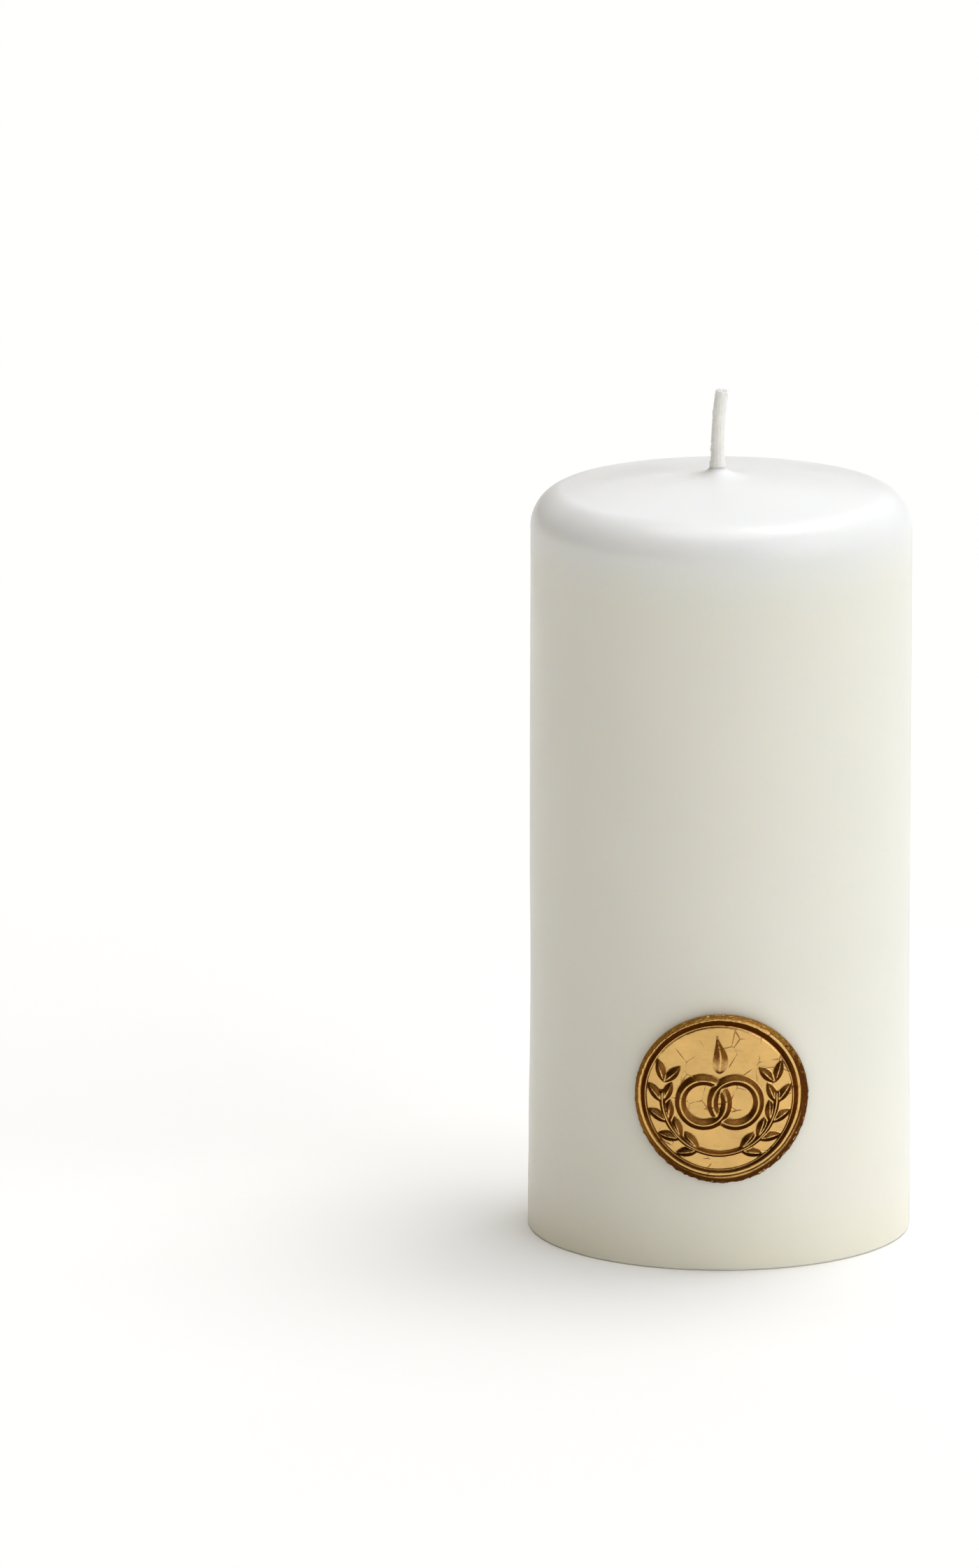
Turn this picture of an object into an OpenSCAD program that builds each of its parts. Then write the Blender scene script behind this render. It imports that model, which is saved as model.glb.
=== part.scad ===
// Unity candle: a domed pillar candle with a hard overdipped coat, a braided wick that stands
// on a metal sustainer, and a stamped sealing-wax medallion stuck to its side.
// Sizes are in millimetres. The origin is the middle of the base, +Z runs up the candle's
// axis, and the seal faces -Y. Nothing moves: every piece is bonded to its neighbour.

/* [Candle body] */
// Outside diameter
candle_d = 76; // [60:1:110]
// Height from the base to the middle of the domed top, without the wick
candle_h = 152; // [100:1:240]
// How far the dome rises from the side wall to the middle
dome_rise = 4; // [2:0.5:8]
// Radius of the soft shoulder between the side and the dome
shoulder_r = 8; // [5:0.5:12]
// Radius round the foot
foot_r = 1.5; // [0.5:0.25:3]

/* [Overdipped coat] */
// Thickness of the hard outer coat, the same all over
coat_t = 2; // [1:0.25:4]
// Height of the little hill of coat wax that climbs the wick
mound_h = 2; // [0.5:0.25:4]
// Diameter of that hill where it runs out on the dome
mound_d = 14; // [8:1:24]

/* [Wick] */
// Thickness of the waxed braid
wick_d = 2.6; // [1.5:0.1:4]
// How far the wick stands beside the candle's axis, towards -X
wick_off = 0.8; // [0:0.1:2]
// Length of the free wick that still stands straight, above the hill
tip_straight = 2.4; // [0.4:0.2:8]
// Length of the free wick beyond that, which bends over gently
tip_l = 12.6; // [6:0.2:20]
// Lean of the wick's end towards +X, in degrees
tip_lean = 8; // [2:1:20]
// Clearance round the wick in the core's pin hole
pin_gap = 0.2; // [0.1:0.05:0.5]

/* [Wick sustainer] */
// Diameter of the round metal tab
tab_d = 24; // [14:1:33]
// Thickness of the tab's sheet
tab_t = 0.4; // [0.2:0.05:0.8]
// Depth of the tab's face below the candle's base
tab_lip = 0.6; // [0.2:0.1:1.5]
// Height of the neck that is crimped on the wick, with the tab
neck_h = 6; // [3:0.5:12]
// Wall of the neck
neck_t = 0.4; // [0.2:0.05:0.8]
// Depth of the crimp in the neck
crimp_depth = 0.15; // [0.05:0.05:0.15]
// Clearance round the tab and the neck in the core
tab_gap = 0.3; // [0.1:0.05:0.8]

/* [Seal] */
// Outside diameter of the seal
seal_d = 34; // [24:1:44]
// Height of the seal's middle above the base
seal_z = 35; // [24:1:70]
// Thickness of the seal at its field
seal_t = 1.4; // [0.8:0.1:2.5]
// Thickness of the seal at its rim
rim_t = 2.7; // [2.2:0.1:4]
// Mean width of the rim, set by the stamp's face
rim_w = 2.2; // [1.5:0.1:4]
// How far the stamp landed off the seal's middle, to -X and to +Z
stamp_off = 0.45; // [0:0.05:0.8]
// Height of the relief over the field
relief_h = 0.8; // [0.3:0.1:0.8]

/* [Sticky wax under the seal] */
// How far the sticky-wax film stays inside the seal's edge
film_inset = 1; // [0.5:0.25:4]
// Thickness of the film
film_t = 0.3; // [0.1:0.05:0.6]

/* [Hidden] */
$fn = 128;

body_r = candle_d / 2;
core_r = body_r - coat_t;
// The foot's radius stays inside the coat, so that the core keeps its full base.
foot_round = min(foot_r, 0.75 * coat_t);

// The dome is part of a sphere, and the shoulder touches both the sphere and the side.
dome_r = (pow(body_r, 2) + pow(dome_rise, 2)) / (2 * dome_rise);
dome_z = candle_h - dome_r;
shoulder_x = body_r - shoulder_r;
shoulder_z = dome_z + sqrt(pow(dome_r - shoulder_r, 2) - pow(shoulder_x, 2));

// The hill is a hollow curve from the wick down to the dome, where it runs out level.
wick_r = wick_d / 2;
mound_r = mound_d / 2;
mound_z = dome_z + sqrt(pow(dome_r, 2) - pow(mound_r + wick_off, 2));
mound_top = candle_h + mound_h;
mound_rise = mound_top - mound_z;
mound_curve = (pow(mound_r - wick_r, 2) + pow(mound_rise, 2)) / (2 * mound_rise);

// The wick runs straight up the candle, and its free end is one arc of the length tip_l.
bend_z = mound_top + tip_straight;
bend_r = tip_l / (tip_lean * PI / 180);

// Sustainer
neck_r = wick_r + neck_t;
neck_top = tab_lip + neck_h;
crimp_r = 1;
crimp_z = neck_h - 1.8;

// Seal: radii of its layers, measured from the candle's axis
seal_back = body_r + film_t;
seal_face = seal_back + seal_t;
seal_rim = seal_back + rim_t;
field_d = seal_d - 2 * rim_w;
film_d = seal_d - 2 * film_inset;

// Relief, drawn to fill the field: two linked rings, a flame over them, and a laurel sprig
// that climbs each side from below. Angles are in degrees.
ring_d = 0.385 * field_d;
ring_w = 0.075 * field_d;
ring_pitch = 0.56 * ring_d;
ring_z = -0.03 * field_d;
flame_l = 0.26 * field_d;
flame_w = 0.12 * field_d;
flame_z = 0.17 * field_d;
sprig_r = 0.385 * field_d;
stem_w = 0.03 * field_d;
leaf_l = 0.155 * field_d;
leaf_w = 0.066 * field_d;
leaf_n = 5;
leaf_first = -80;
leaf_step = 21;
leaf_splay = 30;

// Half outline of the candle, taken in by inset at its side and top
module body_outline(inset, foot) {
    blend_x = shoulder_x * (dome_r - inset) / (dome_r - shoulder_r);
    intersection() {
        translate([0, shoulder_z]) square([blend_x, candle_h - shoulder_z]);
        translate([0, dome_z]) circle(dome_r - inset);
    }
    translate([shoulder_x, shoulder_z]) circle(shoulder_r - inset);
    translate([0, foot]) square([body_r - inset, shoulder_z - foot]);
    if (foot > 0) {
        square([body_r - inset - foot, 2 * foot]);
        translate([body_r - inset - foot, foot]) circle(foot);
    }
}

// Half outline of the hill round the wick, sunk halfway into the coat
module mound_outline() {
    difference() {
        translate([0, mound_z - coat_t / 2]) square([mound_r, mound_rise + coat_t / 2]);
        translate([mound_r, mound_z + mound_curve]) circle(mound_curve);
    }
}

// Inner body of softer, scented wax, with its pin hole and the sustainer's recess
module wax_core() {
    color("oldlace") difference() {
        rotate_extrude() body_outline(coat_t, 0);
        translate([-wick_off, 0, 0]) {
            translate([0, 0, -1]) cylinder(r = wick_r + pin_gap, h = candle_h + 2);
            translate([0, 0, -1]) cylinder(r = neck_r + tab_gap, h = neck_top + tab_gap + 1);
            translate([0, 0, -1]) cylinder(d = tab_d + 2 * tab_gap, h = tab_lip + tab_t + 1);
        }
    }
}

// Hard outer coat: a shell that is open at the base, closed round the wick at the top
module overdip_coat() {
    color("ivory") difference() {
        union() {
            rotate_extrude() difference() {
                body_outline(0, foot_round);
                body_outline(coat_t, 0);
                translate([0, -1]) square([core_r, 2]);
            }
            translate([-wick_off, 0, 0]) rotate_extrude() mound_outline();
        }
        translate([-wick_off, 0, mound_z - 3 * coat_t]) cylinder(r = wick_r, h = mound_h + 6 * coat_t);
    }
}

// Waxed cotton braid from the sustainer to the free tip
module wick() {
    color("beige") translate([-wick_off, 0, 0]) {
        translate([0, 0, tab_lip]) cylinder(r = wick_r, h = bend_z - tab_lip);
        translate([bend_r, 0, bend_z]) rotate([90, 0, 180])
            rotate_extrude(angle = tip_lean) translate([bend_r, 0]) circle(wick_r);
    }
}

// Pressed tin tab with a neck that is crimped round the wick's foot
module wick_sustainer() {
    color("silver") translate([-wick_off, 0, tab_lip]) rotate_extrude() difference() {
        union() {
            translate([wick_r, 0]) square([tab_d / 2 - wick_r, tab_t]);
            translate([wick_r, 0]) square([neck_t, neck_h]);
        }
        translate([neck_r + crimp_r - crimp_depth, crimp_z]) circle(crimp_r);
    }
}

// Shell that follows the candle's side behind and through the seal
module side_shell(inner_r, outer_r) {
    translate([0, 0, seal_z - seal_d]) difference() {
        cylinder(r = outer_r, h = 2 * seal_d);
        translate([0, 0, -1]) cylinder(r = inner_r, h = 2 * seal_d + 2);
    }
}

// Round punch along -Y at the seal's middle, moved by off to -X and to +Z
module seal_punch(d, off) {
    translate([-off, 0, seal_z + off]) rotate([90, 0, 0]) cylinder(d = d, h = 2 * body_r);
}

// Film that sticks the seal to the coat
module sticky_wax() {
    color("khaki") intersection() {
        side_shell(body_r, seal_back);
        seal_punch(film_d, 0);
    }
}

// Pointed oval from the origin along +X, where two equal circles overlap
module leaf(length, width) {
    bow = (pow(length, 2) + pow(width, 2)) / (4 * width);
    translate([length / 2, 0]) intersection() {
        translate([0, bow - width / 2]) circle(bow);
        translate([0, width / 2 - bow]) circle(bow);
    }
}

// Right sprig: a curved stem with leaves on both its sides
module sprig() {
    last = leaf_first + leaf_n * leaf_step;
    intersection() {
        difference() {
            circle(sprig_r + stem_w / 2);
            circle(sprig_r - stem_w / 2);
        }
        polygon([[0, 0], 2 * sprig_r * [cos(leaf_first), sin(leaf_first)], [4 * sprig_r, 0],
                 2 * sprig_r * [cos(last), sin(last)]]);
    }
    for (i = [0 : leaf_n - 1])
        for (side = [-1, 1])
            rotate(leaf_first + (i + 0.5) * leaf_step) translate([sprig_r, 0])
                rotate(90 + side * leaf_splay) leaf(leaf_l, leaf_w);
}

// Flat drawing of the whole relief
module relief_outline() {
    for (side = [-1, 1])
        translate([side * ring_pitch / 2, ring_z]) difference() {
            circle(d = ring_d);
            circle(d = ring_d - 2 * ring_w);
        }
    translate([0, flame_z]) rotate(90) leaf(flame_l, flame_w);
    sprig();
    mirror([1, 0]) sprig();
}

// Stamped medallion: a field with relief, inside a raised rim
module seal() {
    color("goldenrod") {
        intersection() {
            side_shell(seal_back, seal_face);
            seal_punch(seal_d, 0);
        }
        difference() {
            intersection() {
                side_shell(seal_back, seal_rim);
                seal_punch(seal_d, 0);
            }
            seal_punch(field_d, stamp_off);
        }
        intersection() {
            side_shell(seal_back + seal_t / 2, seal_face + relief_h);
            translate([-stamp_off, 0, seal_z + stamp_off]) rotate([90, 0, 0])
                linear_extrude(2 * body_r) relief_outline();
        }
    }
}

wax_core();
overdip_coat();
wick();
wick_sustainer();
sticky_wax();
seal();
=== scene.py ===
import math
import random

import bmesh
import bpy
from bpy.props import FloatProperty, FloatVectorProperty, IntProperty, PointerProperty
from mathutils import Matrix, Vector, noise


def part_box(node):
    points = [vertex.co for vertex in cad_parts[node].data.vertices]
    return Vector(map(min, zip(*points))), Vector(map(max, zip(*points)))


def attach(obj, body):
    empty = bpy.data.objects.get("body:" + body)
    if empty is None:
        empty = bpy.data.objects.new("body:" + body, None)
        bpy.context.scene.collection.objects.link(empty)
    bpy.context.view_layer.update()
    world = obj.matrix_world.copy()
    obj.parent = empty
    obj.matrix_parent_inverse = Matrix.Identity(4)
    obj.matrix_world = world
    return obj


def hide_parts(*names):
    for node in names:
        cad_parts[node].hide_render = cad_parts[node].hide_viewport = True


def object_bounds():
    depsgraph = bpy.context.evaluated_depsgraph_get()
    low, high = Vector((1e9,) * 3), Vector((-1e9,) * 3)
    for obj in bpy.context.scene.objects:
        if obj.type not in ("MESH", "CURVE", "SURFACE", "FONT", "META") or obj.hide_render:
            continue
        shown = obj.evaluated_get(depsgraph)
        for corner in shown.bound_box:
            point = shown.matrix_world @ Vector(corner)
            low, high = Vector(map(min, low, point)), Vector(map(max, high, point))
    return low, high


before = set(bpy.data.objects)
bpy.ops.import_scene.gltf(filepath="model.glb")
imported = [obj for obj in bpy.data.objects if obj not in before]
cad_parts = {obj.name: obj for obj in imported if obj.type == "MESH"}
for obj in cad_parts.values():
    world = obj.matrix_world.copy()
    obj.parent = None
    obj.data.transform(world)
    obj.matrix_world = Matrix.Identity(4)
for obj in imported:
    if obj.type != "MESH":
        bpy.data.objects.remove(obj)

bl_info = {
    "name": "Unity candle",
    "version": (1, 0, 0),
    "blender": (4, 5, 0),
    "location": "3D View > Sidebar > Candle",
    "description": "Builds the wax coat, the braided wick and the stamped seal of a unity candle",
    "category": "Add Mesh",
}

MM = 0.001
CAD_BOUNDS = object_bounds()

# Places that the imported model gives
COAT_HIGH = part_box("overdip_coat")[1]
CORE_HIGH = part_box("wax_core")[1]
WICK_LOW, WICK_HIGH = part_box("wick")
FILM_LOW, FILM_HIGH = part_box("sticky_wax")
SEAL_LOW, SEAL_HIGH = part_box("seal")

BODY_R = COAT_HIGH.x
COAT_T = COAT_HIGH.x - CORE_HIGH.x
DOME_TOP = CORE_HIGH.z + COAT_T
HILL_TOP = COAT_HIGH.z
WICK_R = WICK_HIGH.y
WICK_X = WICK_LOW.x + WICK_R
SEAL_Z = (SEAL_LOW.z + SEAL_HIGH.z) / 2
SEAL_R = (SEAL_HIGH.z - SEAL_LOW.z) / 2
SEAL_BACK = -FILM_LOW.y
SEAL_RIM = -SEAL_LOW.y
FILM_R = (FILM_HIGH.z - FILM_LOW.z) / 2


# ---------------------------------------------------------------- sizes and colours

def measure(name, millimetres, description):
    """A size that is given in millimetres."""
    return FloatProperty(
        name=name, description=description, default=millimetres * MM, unit="LENGTH", precision=6)


def tint(name, colour, description):
    """A colour, as linear red, green and blue."""
    return FloatVectorProperty(
        name=name, description=description, default=colour, subtype="COLOR", size=3, min=0, max=1)


def brightness(name, value, description):
    """The strength of a light."""
    return FloatProperty(name=name, description=description, default=value, min=0)


class CandleCoat(bpy.types.PropertyGroup):
    """The hard, glossy outer coat of wax."""

    dome_rise: measure("Dome rise", 4, "How far the dome rises from the side to the middle")
    shoulder: measure("Shoulder", 8, "Radius of the soft shoulder between the side and the dome")
    foot: measure("Foot", 0.7, "Radius round the foot")
    hill: measure("Hill", 7, "Radius of the little hill of wax that climbs the wick")
    ripple: measure("Ripple", 0.25, "Depth of the slow unevenness that dipping leaves")
    waist: measure("Waist", 0.3, "How much slimmer the side is above the foot, where wax has run down")
    segments: IntProperty(
        name="Segments", description="Steps round the candle", default=256, min=64)
    colour: tint("Wax", (0.915, 0.885, 0.775), "Colour of the white wax")
    # Partly the wax's own whiter tone and partly painted light on the top.
    crown_tone_and_light: tint(
        "Crown wax", (0.98, 0.965, 0.905),
        "Whiter colour of the wax on the dome and its shoulder")
    # Partly the wax's own warmer tone and partly painted shade near the floor.
    foot_tone_and_shade: tint("Foot wax", (0.83, 0.78, 0.62), "Warmer colour of the wax at the foot")


class CandleWick(bpy.types.PropertyGroup):
    """The waxed cotton braid."""

    straight: measure("Straight", 2.4, "Free length above the hill that still stands straight")
    lean: FloatProperty(
        name="Lean", description="Lean of the tip",
        default=math.radians(8), unit="ROTATION")
    strands: IntProperty(
        name="Strands", description="Strands that run each way round the braid", default=6, min=3)
    lay: measure("Lay", 10, "Height in which a strand winds once round the braid")
    relief: measure("Braid relief", 0.08, "How far a strand stands out of the braid")
    lumps: measure("Wax lumps", 0.22, "Height of the lumps of wax that stick to the braid")
    fibres: IntProperty(
        name="Fibres", description="Loose fibres at the cut end", default=26, min=0)
    colour: tint("Cotton", (0.965, 0.96, 0.915), "Colour of the waxed cotton")


class CandleSeal(bpy.types.PropertyGroup):
    """The stamped medallion of gold sealing wax."""

    field: measure("Field radius", 14.6, "Radius of the stamp's face")
    offset: measure("Stamp offset", 0.45, "How far the stamp landed off the middle, to the left and up")
    tip: measure("Stamp tip", 0.55, "How far up the rim's crest was pushed as the stamp tipped")
    droop: measure("Droop", 0.45, "How much lower the rim's crest is at the seal's lowest point")
    face: measure("Face height", 1.4, "Thickness of the wax under the stamp")
    relief: measure("Relief height", 0.85, "Height of the strokes over the field")
    stroke: measure("Stroke", 2.2, "Width of the rings' strokes at their foot")
    voxel: measure("Melt size", 0.165, "Grain at which the separate strokes melt into one piece")
    gold: tint("Gold", (0.64, 0.395, 0.13), "Colour of the gold wax where it faces outwards")
    # The flanks' dark brown is painted shade and reflection, not the wax's own colour.
    flank_shade: tint("Umber", (0.17, 0.062, 0.008), "Colour of the gold wax on its steep flanks")
    # Painted light: a lighter colour on the flanks that face up.
    flank_highlight: tint("Ochre", (0.58, 0.33, 0.10), "Colour of the gold wax on the flanks that face up")


class CandleInside(bpy.types.PropertyGroup):
    """What the coat hides."""

    core: tint("Core wax", (0.88, 0.84, 0.74), "Colour of the soft scented wax")
    film: tint("Sticky wax", (0.62, 0.42, 0.16), "Colour of the wax that holds the seal")
    tin: tint("Tin", (0.74, 0.74, 0.73), "Colour of the wick sustainer")


class CandleStage(bpy.types.PropertyGroup):
    """Floor, light and camera."""

    camera_place: FloatVectorProperty(
        name="Camera", description="Where the camera stands",
        subtype="TRANSLATION", size=3, default=(-0.034, -2.6008, 0.6936))
    camera_aim: FloatVectorProperty(
        name="Aim", description="What the camera looks at, beside the candle",
        subtype="TRANSLATION", size=3, default=(-0.0456, 0.0006, 0.0891))
    lens: FloatProperty(
        name="Lens", description="Focal length in millimetres", default=310.5, unit="CAMERA")
    key: brightness("Key light", 0.78, "Strength of the broad light from the right front")
    shoulder: brightness("Shoulder light", 0.88, "Strength of the light over the right shoulder")
    overhead: brightness("Overhead light", 1.64, "Strength of the light straight above")
    back: brightness("Back light", 0.44, "Strength of the light from behind")
    floor_glow: brightness("Floor glow", 0.045, "Light that the white floor gives off itself")
    bright_side: brightness("Bright side", 0.62, "Strength of the white room on the right")
    dim_side: brightness("Dim side", 0.15, "Strength of the white room on the left")


# ---------------------------------------------------------------- modelling helpers

def begin(name):
    """The primitive that was just added, named, alone in the selection and in edit mode."""
    piece = bpy.context.active_object
    piece.name = piece.data.name = name
    bpy.ops.object.mode_set(mode="EDIT")
    bpy.ops.mesh.select_mode(type="VERT")
    bpy.ops.mesh.select_all(action="SELECT")
    return piece


def clear_selection():
    """Nothing is selected, so that the next operator acts on its own piece only."""
    if bpy.context.object and bpy.context.object.mode != "OBJECT":
        bpy.ops.object.mode_set(mode="OBJECT")
    bpy.ops.object.select_all(action="DESELECT")


def settle(piece):
    """Leaves edit mode with the piece at the origin, unturned and unscaled."""
    clear_selection()
    piece.select_set(True)
    bpy.context.view_layer.objects.active = piece
    bpy.ops.object.transform_apply(location=True, rotation=True, scale=True)
    return piece


def pick(piece, test):
    """In edit mode, selects the vertices whose place passes a test."""
    mesh = bmesh.from_edit_mesh(piece.data)
    for vertex in mesh.verts:
        vertex.select = test(vertex.co)
    mesh.select_flush_mode()
    bmesh.update_edit_mesh(piece.data)


def chain(name, points, closed):
    """A wire through points, drawn by extruding one vertex, with its last edge if it is closed."""
    clear_selection()
    bpy.ops.mesh.primitive_plane_add(size=MM, location=points[0])
    piece = begin(name)
    bpy.ops.mesh.merge(type="CENTER")
    route = points + points[:1] if closed else points
    for here, there in zip(route, route[1:]):
        step = tuple(b - a for a, b in zip(here, there))
        bpy.ops.mesh.extrude_region_move(TRANSFORM_OT_translate={"value": step})
    bpy.ops.mesh.select_all(action="SELECT")
    bpy.ops.mesh.remove_doubles(threshold=0.001 * MM)
    return piece


def turn(piece, centre, angle, steps):
    """Spins what is selected round an upright axis, closes it and makes its normals point out."""
    bpy.ops.mesh.spin(steps=steps, angle=angle, center=centre, axis=(0, 0, 1))
    bpy.ops.mesh.select_all(action="SELECT")
    bpy.ops.mesh.remove_doubles(threshold=0.001 * MM)
    bpy.ops.mesh.normals_make_consistent(inside=False)
    return settle(piece)


def reshape(piece, rule):
    """Moves every vertex to where a rule puts it."""
    for vertex in piece.data.vertices:
        vertex.co = rule(vertex.co)
    piece.data.update()


def weigh(piece, name, rule):
    """A vertex group whose weights come from each vertex's place."""
    group = piece.vertex_groups.new(name=name)
    for vertex in piece.data.vertices:
        weight = rule(vertex.co)
        if weight > 0:
            group.add([vertex.index], min(1.0, weight), "REPLACE")


def finish_with(piece, kind, **settings):
    """Adds a modifier, sets it and applies it."""
    clear_selection()
    piece.select_set(True)
    bpy.context.view_layer.objects.active = piece
    modifier = piece.modifiers.new(kind.title(), kind)
    for setting, value in settings.items():
        setattr(modifier, setting, value)
    bpy.ops.object.modifier_apply(modifier=modifier.name)


def clouds(name, size, depth=2):
    """A soft cloud texture for displacement, with patches of a size in metres."""
    texture = bpy.data.textures.new(name, "CLOUDS")
    texture.noise_scale = size
    texture.noise_depth = depth
    return texture


def join(name, pieces):
    """One piece made of several."""
    clear_selection()
    for piece in pieces:
        piece.select_set(True)
    bpy.context.view_layer.objects.active = pieces[0]
    bpy.ops.object.join()
    whole = bpy.context.active_object
    whole.name = whole.data.name = name
    return whole


def smooth(piece, angle):
    """Smooth shading, except across edges sharper than an angle."""
    clear_selection()
    piece.select_set(True)
    bpy.context.view_layer.objects.active = piece
    bpy.ops.object.shade_smooth_by_angle(angle=angle)


def ease(low, high, value):
    """0 below low, 1 above high, and smooth in between."""
    share = min(1.0, max(0.0, (value - low) / (high - low)))
    return share * share * (3 - 2 * share)


def arc(centre, radius, start, end, steps):
    """Points (radius from the axis, height) on a round stretch. Angles are measured from upright."""
    angles = [start + (end - start) * i / steps for i in range(steps + 1)]
    return [(centre[0] + radius * math.sin(a), centre[1] + radius * math.cos(a)) for a in angles]


# ---------------------------------------------------------------- shader helpers

class Signal:
    """A number that a material works out. Arithmetic on it adds Math nodes."""

    def __init__(self, paint, socket):
        self.paint = paint
        self.socket = socket

    def math(self, operation, first, second=0.0):
        node = self.paint.add("ShaderNodeMath", {"operation": operation}, {0: first, 1: second})
        return Signal(self.paint, node.outputs[0])

    def __add__(self, other):
        return self.math("ADD", self, other)

    def __radd__(self, other):
        return self.math("ADD", other, self)

    def __sub__(self, other):
        return self.math("SUBTRACT", self, other)

    def __rsub__(self, other):
        return self.math("SUBTRACT", other, self)

    def __mul__(self, other):
        return self.math("MULTIPLY", self, other)

    def __rmul__(self, other):
        return self.math("MULTIPLY", other, self)

    def below(self, other):
        return self.math("LESS_THAN", self, other)

    def power(self, exponent):
        return self.math("POWER", self, exponent)

    def ease(self, low, high):
        """0 below low, 1 above high, and smooth in between."""
        node = self.paint.add(
            "ShaderNodeMapRange", {"interpolation_type": "SMOOTHSTEP"},
            {"Value": self, "From Min": low, "From Max": high})
        return Signal(self.paint, node.outputs["Result"])


class Paint:
    """A material with one Principled shader. Patterns are laid out in millimetres of the piece."""

    def __init__(self, name):
        self.material = bpy.data.materials.new(name)
        self.material.use_nodes = True
        self.tree = self.material.node_tree
        self.tree.nodes.clear()
        self.shader = self.add("ShaderNodeBsdfPrincipled")
        self.add("ShaderNodeOutputMaterial", {}, {"Surface": self.shader.outputs["BSDF"]})

    def add(self, kind, settings=None, sockets=None):
        """A node of a kind, with its settings made first and its sockets set or linked next."""
        node = self.tree.nodes.new(kind)
        for setting, value in (settings or {}).items():
            setattr(node, setting, value)
        for socket, value in (sockets or {}).items():
            self.feed(node.inputs[socket], value)
        return node

    def feed(self, socket, value):
        """Links a node's output to a socket, or sets the socket to a plain value."""
        if isinstance(value, Signal):
            value = value.socket
        if isinstance(value, bpy.types.NodeSocket):
            self.tree.links.new(value, socket)
        elif socket.type == "RGBA" and len(value) == 3:
            socket.default_value = (*value, 1.0)
        else:
            socket.default_value = value

    def place(self, stretch=(1, 1, 1), shift=(0, 0, 0)):
        """The piece's own coordinates in millimetres, stretched and shifted."""
        texture = self.add("ShaderNodeTexCoord")
        scale = [s / MM for s in stretch]
        node = self.add("ShaderNodeMapping", {}, {
            "Vector": texture.outputs["Object"], "Scale": scale, "Location": shift})
        return node.outputs["Vector"]

    def axes(self, vector):
        """The three numbers of a vector."""
        node = self.add("ShaderNodeSeparateXYZ", {}, {0: vector})
        return [Signal(self, output) for output in node.outputs]

    def noise(self, size, detail=2.0, rough=0.5, stretch=(1, 1, 1), shift=(0, 0, 0)):
        """Cloudy noise about a size in millimetres, from 0 to 1."""
        node = self.add("ShaderNodeTexNoise", {}, {
            "Vector": self.place(stretch, shift), "Scale": 1 / size, "Detail": detail,
            "Roughness": rough})
        return Signal(self, node.outputs["Fac"])

    def cells(self, size, feature, output, shift=(0, 0, 0)):
        """A Voronoi pattern with cells of a size in millimetres."""
        node = self.add("ShaderNodeTexVoronoi", {"feature": feature}, {
            "Vector": self.place(shift=shift), "Scale": 1 / size})
        return node.outputs[output]

    def blend(self, factor, first, second):
        """A mix of two colours."""
        node = self.add("ShaderNodeMix", {"data_type": "RGBA"}, {0: factor, 6: first, 7: second})
        return node.outputs[2]

    def bump(self, *layers):
        """Stacks heights, each a (signal, depth in millimetres) pair, into one normal."""
        normal = None
        for height, depth in layers:
            sockets = {"Height": height, "Distance": depth * MM, "Strength": 1.0}
            if normal is not None:
                sockets["Normal"] = normal
            normal = self.add("ShaderNodeBump", {}, sockets).outputs["Normal"]
        return normal

    def finish(self, **values):
        """Sets or links the shader's sockets. An underscore in a name stands for a space."""
        for name, value in values.items():
            self.feed(self.shader.inputs[name.replace("_", " ")], value)
        return self.material


def specks(paint, size, share, radius, shift=(0, 0, 0)):
    """Sparse round specks, 1 inside a speck and 0 elsewhere. Share is how many cells hold one."""
    distance = Signal(paint, paint.cells(size, "F1", "Distance", shift=shift))
    colour = paint.cells(size, "F1", "Color", shift=shift)
    chosen = paint.axes(colour)[0].below(share)
    return chosen * (1 - distance.ease(0.5 * radius / size, radius / size))


# ---------------------------------------------------------------- materials

def coat_wax(sizes):
    """White overdipped wax: milky, with a soft gloss, faint dip rings, dimples and rare specks; whiter on
    the dome, partly its own tone and partly painted light, and warmer and darker at the foot, partly its
    own tone and partly painted shade.
    """
    paint = Paint("overdipped_wax")
    height = paint.axes(paint.place())[2]
    foot = 1 - height.ease(0.5, 14)
    cloud = paint.noise(28, detail=3)
    tone = paint.blend(cloud.ease(0.3, 0.7), sizes.colour, [0.985 * c for c in sizes.colour])
    # The whiter dome is partly the wax's own tone and partly painted light on the top.
    crown_low, crown_high = HILL_TOP / MM - 24, HILL_TOP / MM - 6
    crown_tone_and_light_share = (height + 5 * (cloud - 0.5)).ease(crown_low, crown_high)
    tone = paint.blend(crown_tone_and_light_share, tone, sizes.crown_tone_and_light)
    # The warmer, darker foot is partly the wax's own tone and partly painted shade near the floor.
    tone = paint.blend(foot * (0.25 + 0.3 * cloud), tone, sizes.foot_tone_and_shade)
    dirt = specks(paint, 9, 0.12, 0.16)
    tone = paint.blend(0.35 * dirt, tone, (0.35, 0.32, 0.27))
    rings = paint.noise(3.2, detail=3, stretch=(0.12, 0.12, 1))
    dimples = paint.noise(2.2, detail=1)
    grain = paint.noise(0.35, detail=3)
    pits = specks(paint, 5.5, 0.1, 0.22, shift=(3, 7, 1))
    smears = paint.noise(11, detail=4, rough=0.6, stretch=(1, 1, 0.35))
    return paint.finish(
        Base_Color=tone,
        Roughness=0.32 + 0.12 * smears.ease(0.35, 0.7) + 0.04 * grain,
        Normal=paint.bump((rings, 0.05), (dimples, 0.025), (grain, 0.003), (1 - pits, 0.05)),
        IOR=1.44,
        Subsurface_Weight=0.9,
        Subsurface_Radius=(1.0, 0.9, 0.74),
        Subsurface_Scale=2.2 * MM,
        Coat_Weight=0.16,
        Coat_Roughness=0.14,
    )


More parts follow.
